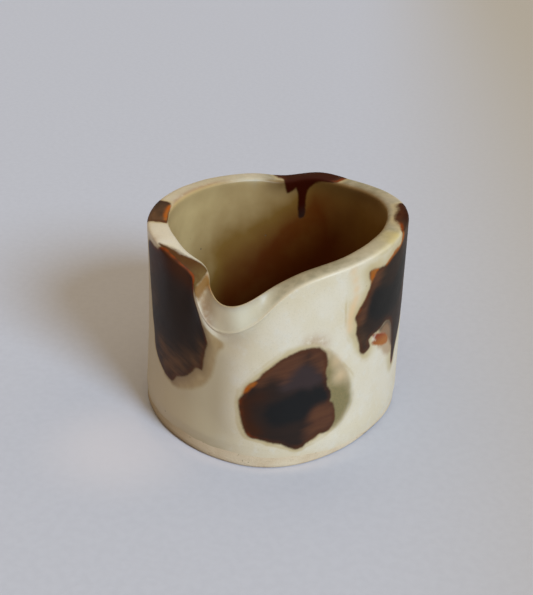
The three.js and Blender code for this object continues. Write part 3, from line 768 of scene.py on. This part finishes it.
class Glaze(Shader):
    """Cream glaze with brown patches, their amber edges and what bled from them."""

    # The liner's colours, from the rim to the darkest, for pooled glaze and painted shade inside
    LINER_STOPS = ((0, (194, 165, 112)), (0.25, (164, 134, 86)), (0.55, (118, 83, 32)), (1, (88, 38, 0)))
    STROKE_TURN = (0, 0, -0.5)
    STROKE_SCALE = (0.12, 0.55, 1)

    def __init__(self, name):
        super().__init__(bpy.data.materials.new(name))
        place = self.millimetres()
        self.clouds = self.noise(place, 0.07, 3)
        self.mottle = self.noise(place, 0.35, 3, 0.6)
        self.grain = self.noise(place, 1.6, 3, 0.6)
        self.fine = self.noise(place, 4, 2)
        self.ragged = self.scaled(self.noise(place, 0.9, 4, 0.6), 0.7, -0.35)
        self.wander = self.scaled(self.noise(place, 0.22, 2), 2.6, -1.3)
        self.streaks = self.brush_streaks()
        self.pits = self.pinholes(place)
        self.outside = self.math("SUBTRACT", 1, "inside")
        self.patch = self.plus("brown", self.ragged)

    def brush_streaks(self):
        """Streaks that slant across the flat surface, as a brush leaves them."""
        flat = self.add("CombineXYZ", {0: "flat_x", 1: "flat_y"})
        inputs = {"Vector": flat.outputs[0], "Rotation": self.STROKE_TURN, "Scale": self.STROKE_SCALE}
        return self.noise(self.add("Mapping", inputs).outputs[0], 1, 2.5)

    def pinholes(self, place):
        """Pinholes here and there."""
        cells = self.cells(place, 0.17)
        chance = self.add("SeparateColor", {0: cells["Color"]}).outputs[0]
        return self.times(self.step(cells["Distance"], 0.075, 0.04), self.step(chance, 0.45, 0.95))

    def zone(self, name, low, high, wobble=None):
        """How far inside a zone a place is, with an edge that a texture makes uneven."""
        edge = self.plus(name, self.ragged if wobble is None else wobble)
        return self.step(edge, low, high)

    def cream(self):
        """The plain glaze: tan and burnt on the rim, darker down the inside with pooled glaze and painted
        shade, worn at the foot, with painted shade on the left side and the lip's left end, and painted
        light on the lip's face.
        """
        cream = self.mix(self.step(self.clouds, 0.36, 0.66), (213, 198, 172), (208, 190, 157))
        cream = self.tint(cream, self.step(self.mottle, 0.5, 0.72), 0.45, (213, 202, 183))
        cream = self.tint(cream, self.step(self.grain, 0.52, 0.75), 0.2, (180, 165, 134))
        cream = self.tint(cream, self.step(self.fine, 0.56, 0.72), 0.3, (172, 156, 124))
        # Painted shade on the left side of the wall
        cream = self.tint(cream, "painted_left_shade", 0.9, (184, 166, 132))
        uneven = self.scaled(self.step(self.mottle, 0.3, 0.7), 0.35, 0.75)
        # Tan on the rim, and painted shade on the lip's left end
        cream = self.tint(cream, "tan", uneven, (146, 136, 108))
        # Inside, the liner darkens with pooled glaze and with painted shade on its right and back
        pooled_and_shaded = self.plus("pooled_and_shaded", self.scaled(self.clouds, 0.5, -0.25))
        cream = self.mix("inside", cream, self.ramp(pooled_and_shaded, self.LINER_STOPS))
        cream = self.tint(cream, "burnt", self.step(self.mottle, -0.1, 0.45), (94, 64, 24))
        # Rust, and painted shade on the lip's left end
        rust_and_lip_shade = self.times("rust_and_lip_shade", self.step(self.mottle, 0.2, 0.5))
        cream = self.tint(cream, rust_and_lip_shade, 0.85, (146, 94, 40))
        cream = self.mix("straw", cream, (188, 167, 110))
        foot = self.plus("foot", self.scaled(self.mottle, 2, -1))
        # Worn glaze at the foot, darker on the left as painted shade
        worn_and_shaded = self.mix("painted_left_shade", (206, 185, 150), (178, 158, 122))
        cream = self.tint(cream, self.step(foot, 2.6, 0.2), 0.8, worn_and_shaded)
        cream = self.tint(cream, self.pits, 0.8, (92, 76, 56))
        # Painted light on the lip's face and a painted glint by the drop
        return self.mix("painted_light", cream, (234, 222, 188))

    def bled(self, base):
        """The halo round the patches, with a tide line at its edge."""
        closeness = self.step(self.plus("brown", self.wander), -5, 0.2)
        colour = self.mix(self.step(self.clouds, 0.35, 0.65), (200, 184, 146), (194, 172, 126))
        colour = self.tint(colour, closeness, 0.6, (176, 150, 102))
        wander = self.times(self.wander, 0.6)
        halo = self.step(self.plus("halo", wander), -0.4, 2)
        base = self.mix(self.times(halo, self.scaled(closeness, 0.62, 0.32), self.outside), base, colour)
        base = self.pooled_and_shaded(base)
        tide = self.plus("tide", wander)
        line = self.times(self.step(tide, -0.6, 0.1), self.step(tide, 1, 0.3))
        line = self.times(line, self.step(self.clouds, 0.42, 0.62), self.outside)
        base = self.tint(base, line, 0.45, (180, 154, 106))
        return self.tint(base, "blush", 0.85, (214, 176, 130))

    def pooled_and_shaded(self, base):
        """The stains, pools and smears beside the patches."""
        patchy = self.step(self.mottle, 0.3, 0.7)
        stain = self.mix(patchy, (158, 129, 86), (168, 141, 98))
        stain = self.tint(stain, self.step("brown", -3.5, -0.2), 0.65, (114, 86, 50))
        base = self.tint(base, self.zone("stain", -0.9, 1.1), 0.9, stain)
        pool = self.mix(patchy, (166, 142, 104), (175, 151, 113))
        base = self.tint(base, self.zone("pool", -0.7, 1.2), 0.85, pool)
        olive = self.mix(self.step(self.grain, 0.3, 0.7), (114, 103, 62), (128, 110, 68))
        base = self.tint(base, self.zone("olive", -2.8, 2, self.wander), 0.95, olive)
        base = self.tint(base, self.zone("bleed", -1.4, 0.8), 0.8, (166, 132, 96))
        veil = self.mix(self.step("brown", -1.8, -0.2), (126, 92, 62), (76, 54, 38))
        base = self.tint(base, self.zone("veil", -1.3, 0.4), 0.95, veil)
        base = self.tint(base, self.zone("pinch", -0.9, 0.8), 0.95, (124, 87, 40))
        slope = self.mix(self.step("flat_x", -21.5, -15.5), (76, 44, 16), (100, 77, 40))
        slope = self.tint(slope, self.step(self.mottle, 0.35, 0.65), 0.5, (84, 53, 21))
        return self.mix(self.zone("slope", -0.9, 0.3), base, slope)

    def brown(self):
        """The patches: near black in the middle, streaked by the brush, russet and amber where thin."""
        smear = self.scaled(self.streaks, 3, -1.5)
        dark = self.mix(self.scaled(self.streaks, 0.5, -0.1), (40, 30, 25), (54, 37, 27))
        dark = self.tint(dark, "lift", self.step(self.streaks, 0.1, 0.7), (96, 66, 42))
        dark = self.mix("red", dark, (48, 8, 0))
        dark = self.mix("umber", dark, (60, 31, 15))
        dark = self.tint(dark, self.zone("grey", -2.5, 1.5, smear), 0.8, (58, 45, 43))
        russet = self.mix(self.step(self.streaks, 0.25, 0.8), (82, 49, 33), (93, 57, 36))
        dark = self.tint(dark, self.zone("russet", -2.8, 2.2, smear), 0.9, russet)
        dark = self.tint(dark, self.zone("core", -1.8, 1.6, smear), 0.95, (27, 26, 25))
        streaked = self.plus(self.patch, self.scaled(self.streaks, 2, -1))
        uneven = self.scaled(self.step(self.wander, -0.5, 0.5), 0.4, 0.1)
        thin = self.times(self.step(streaked, 2.2, 0.2), uneven)
        dark = self.tint(dark, thin, self.outside, (84, 44, 20))
        edge = self.times(self.step(self.patch, -0.4, 0.1), self.step(self.patch, 1.8, 0.4))
        amber = self.times(edge, self.scaled("amber", 0.95, 0.04))
        dark = self.tint(dark, amber, self.outside, (122, 50, 5))
        orange = self.mix(self.step(self.mottle, 0.35, 0.65), (164, 82, 16), (150, 88, 36))
        return self.tint(dark, self.zone("orange", -0.7, 0.6), 0.95, orange)

    def build(self, roughness, specular):
        """The finished material, with the drop that fell below the right patch and a painted glint beside
        it.
        """
        base = self.mix(self.step(self.patch, -0.6, 0.5), self.bled(self.cream()), self.brown())
        drop = self.mix(self.step("flat_y", 30.5, 35), (158, 90, 28), (128, 44, 0))
        base = self.mix(self.zone("drop", -0.6, 0.4), base, drop)
        # A painted glint beside the drop
        painted_glint_share = self.step("drop", -2, -0.5)
        base = self.tint(base, "painted_light", painted_glint_share, (222, 208, 188))
        rough = self.scaled(self.mottle, 0.12, roughness)
        height = self.math("SUBTRACT", self.times(self.mottle, 0.1), self.times(self.pits, 0.06))
        return self.finish(base, rough, height, 0.35, IOR=1.5, Specular_IOR_Level=specular)


def clay_material():
    """Bare fired stoneware: buff, with painted shade on the left and a painted contact shadow at the table
    there, with iron specks and fine grit.
    """
    clay = Shader(bpy.data.materials.new("bare_clay"))
    place = clay.millimetres()
    x, _, z = clay.split(place)
    grit = clay.noise(place, 2.6, 4, 0.7)
    colour = clay.mix(clay.step(clay.noise(place, 0.12, 3), 0.35, 0.66), (216, 194, 160), (206, 180, 144))
    colour = clay.tint(colour, clay.step(grit, 0.5, 0.75), 0.4, (176, 148, 112))
    # Painted shade on the left of the foot
    colour = clay.tint(colour, clay.step(x, -2, -28), 0.9, (172, 150, 116))
    # A painted contact shadow where the foot meets the table on the left
    painted_contact_shadow = clay.times(clay.step(x, 4, -20), clay.step(z, 2.4, 0.3))
    colour = clay.tint(colour, painted_contact_shadow, 0.9, (128, 102, 70))
    specks = clay.step(clay.cells(place, 0.5)["Distance"], 0.16, 0.08)
    colour = clay.tint(colour, specks, 0.5, (110, 84, 58))
    return clay.finish(colour, clay.scaled(grit, 0.15, 0.72), grit, 0.5, Specular_IOR_Level=0.3)


def floor_material():
    """Pale paper, with painted warm shade to the far right, and painted light that the glaze throws close to
    the jug and beside it on the left front.
    """
    paper = Shader(bpy.data.materials.new("pale_paper"))
    place = paper.millimetres()
    x, y, _ = paper.split(place)
    fibre = paper.noise(place, 0.4, 3)
    colour = paper.mix(paper.step(fibre, 0.3, 0.7), (184, 184, 190), (187, 187, 193))
    # Painted warm shade on the floor towards the far right and back
    right = paper.plus(x, paper.times(y, 0.25))
    colour = paper.mix(paper.step(right, 20, 170), colour, (174, 164, 149))
    # Painted light in a ring round the foot, fading out to the far left and right
    reach = paper.add("VectorMath", {0: place}, operation="LENGTH").outputs["Value"]
    painted_bounce_ring = paper.times(paper.step(reach, 46.5, 41.5), paper.step(x, -36, -14), paper.step(x, 42, 14))
    colour = paper.tint(colour, painted_bounce_ring, 0.75, (205, 199, 200))
    # A painted pool of light on the floor beside the foot at the left front
    away = paper.add("VectorMath", {0: place, 1: PAINTED_LIGHT_CENTRE}, operation="DISTANCE").outputs["Value"]
    painted_bounce_spot = paper.times(paper.step(away, 34, 4), paper.step(reach, 40.5, 47))
    colour = paper.tint(colour, painted_bounce_spot, 0.75, (205, 199, 200))
    return paper.finish(colour, paper.scaled(fibre, 0.1, 0.85), fibre, 0.05, Specular_IOR_Level=0.1)


def rows_round(values):
    """One row of places round the jug for each value."""
    return np.asarray(values, float)[:, None] + np.zeros(COLUMNS)


def angles_for(rows):
    """The angle of each place in some rows round the jug."""
    return np.broadcast_to(ANGLES, rows.shape)


def grid_faces(rows, first_row=0):
    """Four-sided faces of a grid that closes round the jug, facing out where the rows run up."""
    row, column = np.mgrid[first_row:first_row + rows - 1, 0:COLUMNS]
    after = (column + 1) % COLUMNS
    low = row * COLUMNS
    high = low + COLUMNS
    corners = (low + column, low + after, high + after, high + column)
    return np.stack(corners, axis=-1).reshape(-1, 4).tolist()


def closing_faces(rows):
    """Four-sided faces from the last row of a grid to its first."""
    column = np.arange(COLUMNS)
    after = (column + 1) % COLUMNS
    last = (rows - 1) * COLUMNS
    return np.stack((last + column, last + after, after, column), axis=-1).tolist()


def fan_faces(row, middle, facing_down=False):
    """Three-sided faces from a row of a grid to a point in its middle."""
    column = row * COLUMNS + np.arange(COLUMNS)
    after = row * COLUMNS + (np.arange(COLUMNS) + 1) % COLUMNS
    edge = (after, column) if facing_down else (column, after)
    return np.stack((*edge, np.full(COLUMNS, middle)), axis=-1).tolist()


def make_mesh(name, points, faces, material):
    """A mesh from places in metres."""
    mesh = bpy.data.meshes.new(name)
    mesh.from_pydata(points, [], faces)
    mesh.materials.append(material)
    return mesh


def make_object(name, data):
    """An object in the scene."""
    item = bpy.data.objects.new(name, data)
    bpy.context.scene.collection.objects.link(item)
    return item


def make_piece(name, points, faces, material, nodes, marks=None):
    """A smooth-shaded piece from places in millimetres, in place of some nodes of the frame."""
    mesh = make_mesh(name, (np.asarray(points) * MM).tolist(), faces, material)
    mesh.polygons.foreach_set("use_smooth", np.ones(len(mesh.polygons), bool))
    for key, values in (marks or {}).items():
        layer = mesh.attributes.new(key, "FLOAT", "POINT")
        layer.data.foreach_set("value", np.asarray(values, np.float32))
    mesh.update()
    piece = make_object(name, mesh)
    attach(piece, "root")
    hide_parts(*nodes)


def make_glaze(material):
    """The cream coat outside, over the rim and inside, as one closed skin on the clay."""
    line_level = glaze_line(ANGLES) / SHOULDER
    wall_levels = line_level + (1 - line_level) * np.linspace(0, 1, COAT_WALL_ROWS)[:, None]
    rim_levels = 1 + np.linspace(0, 1, COAT_RIM_ROWS)[1:-1]
    inner_levels = np.linspace(2, FLOOR_LEVEL - (COIL + LINER) / INNER_LENGTH, COAT_INNER_ROWS)
    levels = np.concatenate((wall_levels, rows_round(np.append(rim_levels, inner_levels))))
    radius, height = section(levels, coat_height(angles_for(levels), levels))
    coil_radius, coil_height = coil_path(LINER, COAT_COIL_ROWS)
    floor_radius = np.linspace(coil_radius[-1], CENTRE_RADIUS, COAT_FLOOR_ROWS)[1:]
    low_radius = np.append(coil_radius[1:], floor_radius)
    low_height = np.append(coil_height[1:], np.full(floor_radius.shape, BASE_THICKNESS + LINER))

    under_radius, under_height = coil_path(SEAT, COAT_BACK_COIL_ROWS)
    under_radius = np.append(CENTRE_RADIUS, under_radius[::-1])
    under_height = np.append(BASE_THICKNESS + SEAT, under_height[::-1])
    back_levels = rows_round(COAT_BACK_LEVELS)
    back_offset = SEAT + clay_height(angles_for(back_levels), back_levels)
    back_radius, back_height = section(back_levels, back_offset)

    all_radius = np.concatenate((radius, rows_round(low_radius), rows_round(under_radius), back_radius))
    all_height = np.concatenate((height, rows_round(low_height), rows_round(under_height), back_height))
    floor_levels = np.full((low_radius.size + under_radius.size, COLUMNS), FLOOR_LEVEL)
    all_levels = np.concatenate((levels, floor_levels, back_levels))
    around = angles_for(all_radius)
    middles = form(np.zeros(2), BASE_THICKNESS + np.array((LINER, SEAT)), np.zeros(2))
    points = np.concatenate((form(all_radius, all_height, around).reshape(-1, 3), middles))
    rows = len(all_radius)
    seen = len(levels) + low_radius.size
    faces = grid_faces(seen) + grid_faces(rows - seen, seen) + closing_faces(rows)
    faces += fan_faces(seen - 1, rows * COLUMNS)
    faces += fan_faces(seen, rows * COLUMNS + 1, facing_down=True)
    marks = surface_marks(np.append(around, (0, 0)), np.append(all_levels, (FLOOR_LEVEL, FLOOR_LEVEL)))
    make_piece("glaze_coat", points, faces, material, ["outer_glaze", "liner_glaze"], marks)


def border(quads):
    """The edges that only one of some four-sided faces has, in the direction that the face runs."""
    edges = set()
    for a, b, c, d in quads.tolist():
        for edge in ((a, b), (b, c), (c, d), (d, a)):
            if edge[::-1] in edges:
                edges.remove(edge[::-1])
            else:
                edges.add(edge)
    return sorted(edges)


def make_film(name, material):
    """A brown patch as a thin film whose edge runs out into the cream coat."""
    outlines = [BROWN_CURVES[name]] + [curve for zone in SMEARS.get(name, ()) for curve in ZONE_CURVES[zone]]
    low = np.min([outline.min(axis=0) for outline in outlines], axis=0) - FILM_MARGIN
    high = np.max([outline.max(axis=0) for outline in outlines], axis=0) + FILM_MARGIN
    columns = np.arange(low[0], high[0], FILM_STEP)
    rows = np.arange(max(low[1], FILM_LOWEST), high[1], FILM_STEP)
    x, y = np.meshgrid(columns, rows)
    distance = nearest_edge(x, y, outlines)
    around = x / FLAT_RADIUS
    levels = np.interp(y, LENGTHS, LEVELS)
    under = coat_height(around, levels)
    rise = FILM_HEIGHT * smoothstep(*FILM_RISE, distance) - FILM_TUCK * smoothstep(*FILM_TUCK_RISE, distance)
    upper = form(*section(levels, under + rise), around).reshape(-1, 3)
    lower = form(*section(levels, under - FILM_ROOT), around).reshape(-1, 3)

    index = np.arange(x.size).reshape(x.shape)
    kept = distance > -FILM_SKIRT
    cells = kept[:-1, :-1] & kept[1:, :-1] & kept[:-1, 1:] & kept[1:, 1:]
    corners = (index[:-1, :-1], index[:-1, 1:], index[1:, 1:], index[1:, :-1])
    used, numbered = np.unique(np.stack(corners, axis=-1)[cells], return_inverse=True)
    quads = numbered.reshape(-1, 4)
    count = used.size
    faces = quads.tolist() + (quads[:, ::-1] + count).tolist()
    faces += [[b, a, a + count, b + count] for a, b in border(quads)]
    points = np.concatenate((upper[used], lower[used]))
    marks = surface_marks(np.tile(around.ravel()[used], 2), np.tile(levels.ravel()[used], 2))
    make_piece(name + "_film", points, faces, material, [name], marks)


def make_wall(material):
    """The clay wall under the glaze, with the hand's unevenness in its faces."""
    outer = np.linspace(BASE_THICKNESS / SHOULDER, 1, WALL_OUTER_ROWS)
    rim = 1 + np.linspace(0, 1, WALL_RIM_ROWS)[1:-1]
    inner = np.linspace(2, FLOOR_LEVEL, WALL_INNER_ROWS)
    levels = rows_round(np.concatenate((outer, rim, inner)))
    around = angles_for(levels)
    points = form(*section(levels, clay_height(around, levels)), around).reshape(-1, 3)
    faces = grid_faces(len(levels)) + closing_faces(len(levels))
    make_piece("clay_wall", points, faces, material, ["wall_slab"])


def make_foot(material):
    """The clay base with its worn, unglazed foot edge."""
    rounding = FOOT_ROUNDING * (1 + waves_round(FOOT_WEAR, ANGLES))
    turn = np.linspace(-math.pi / 2, 0, FOOT_EDGE_ROWS)[:, None]
    flat = rows_round(FOOT_FLAT_RADII)
    side = rows_round(np.linspace(FOOT_SIDE_START, BASE_THICKNESS, FOOT_SIDE_ROWS))
    top = rows_round(FOOT_TOP_RADII)
    edge_radius = RIM_RADIUS - rounding + rounding * np.cos(turn)
    edge_height = rounding + rounding * np.sin(turn)
    radius = np.concatenate((flat, edge_radius, np.full(side.shape, RIM_RADIUS), top))
    height = np.concatenate((np.zeros(flat.shape), edge_height, side, np.full(top.shape, BASE_THICKNESS)))
    points = form(radius, height, angles_for(radius)).reshape(-1, 3)
    points = np.concatenate((points, [(0, 0, 0), (0, 0, BASE_THICKNESS)]))
    rows = len(radius)
    faces = grid_faces(rows) + fan_faces(0, rows * COLUMNS, facing_down=True)
    faces += fan_faces(rows - 1, rows * COLUMNS + 1)
    make_piece("clay_foot", points, faces, material, ["base_slab"])


def make_floor():
    """The pale floor that the jug stands on, which sweeps up far away."""
    square = ((-1, -1), (1, -1), (1, 1), (-1, 1))
    levels = ((FLOOR_HALF, 0), (SWEEP_HALF, SWEEP_RISE))
    corners = [(half * x, half * y, rise) for half, rise in levels for x, y in square]
    faces = [(0, 1, 2, 3), (0, 4, 5, 1), (1, 5, 6, 2), (2, 6, 7, 3), (3, 7, 4, 0)]
    make_object("floor", make_mesh("floor", corners, faces, floor_material()))


def make_window():
    """Cool soft light from a window on the right."""
    light = bpy.data.lights.new("window", "SUN")
    light.energy = KEY_STRENGTH
    light.angle = KEY_SOFTNESS
    light.color = KEY_COLOUR
    azimuth = math.radians(KEY_AZIMUTH)
    level = math.cos(math.radians(KEY_ELEVATION))
    up = math.sin(math.radians(KEY_ELEVATION))
    towards = Vector((math.sin(azimuth) * level, -math.cos(azimuth) * level, up))
    make_object("window", light).rotation_euler = towards.to_track_quat("Z", "Y").to_euler()


def make_room():
    """A warm room round the jug, brightest overhead."""
    room = Shader(bpy.data.worlds.new("room"))
    up = room.split(room.add("TexCoord").outputs["Generated"])[2]
    share = room.math("POWER", room.math("MAXIMUM", up, 0.0), ROOM_RISE)
    colour = room.mix(share, ROOM_WALLS, ROOM_TOP)
    light = room.add("Background", {"Color": colour})
    room.add("OutputWorld", {"Surface": light.outputs[0]})
    bpy.context.scene.world = room.owner


def make_camera():
    """The photograph's camera."""
    lens = bpy.data.cameras.new("camera")
    lens.sensor_width = CAMERA_SENSOR
    lens.lens = CAMERA_LENS
    lens.clip_start = CAMERA_NEAREST
    camera = make_object("camera", lens)
    turned = Matrix((CAMERA_RIGHT, CAMERA_UP, CAMERA_BACK)).transposed()
    camera.matrix_world = Matrix.Translation(CAMERA_PLACE) @ turned.to_4x4()
    bpy.context.scene.camera = camera


cream_glaze = Glaze("cream_glaze").build(CREAM_ROUGHNESS, CREAM_SPECULAR)
brown_glaze = Glaze("brown_glaze").build(BROWN_ROUGHNESS, BROWN_SPECULAR)
bare_clay = clay_material()

make_glaze(cream_glaze)
for patch_name in OUTLINES:
    make_film(patch_name, brown_glaze)
make_wall(bare_clay)
make_foot(bare_clay)
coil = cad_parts["corner_coil"]
coil.data.materials.clear()
coil.data.materials.append(bare_clay)

make_floor()
make_window()
make_room()
make_camera()
bpy.context.scene.view_settings.view_transform = "Standard"
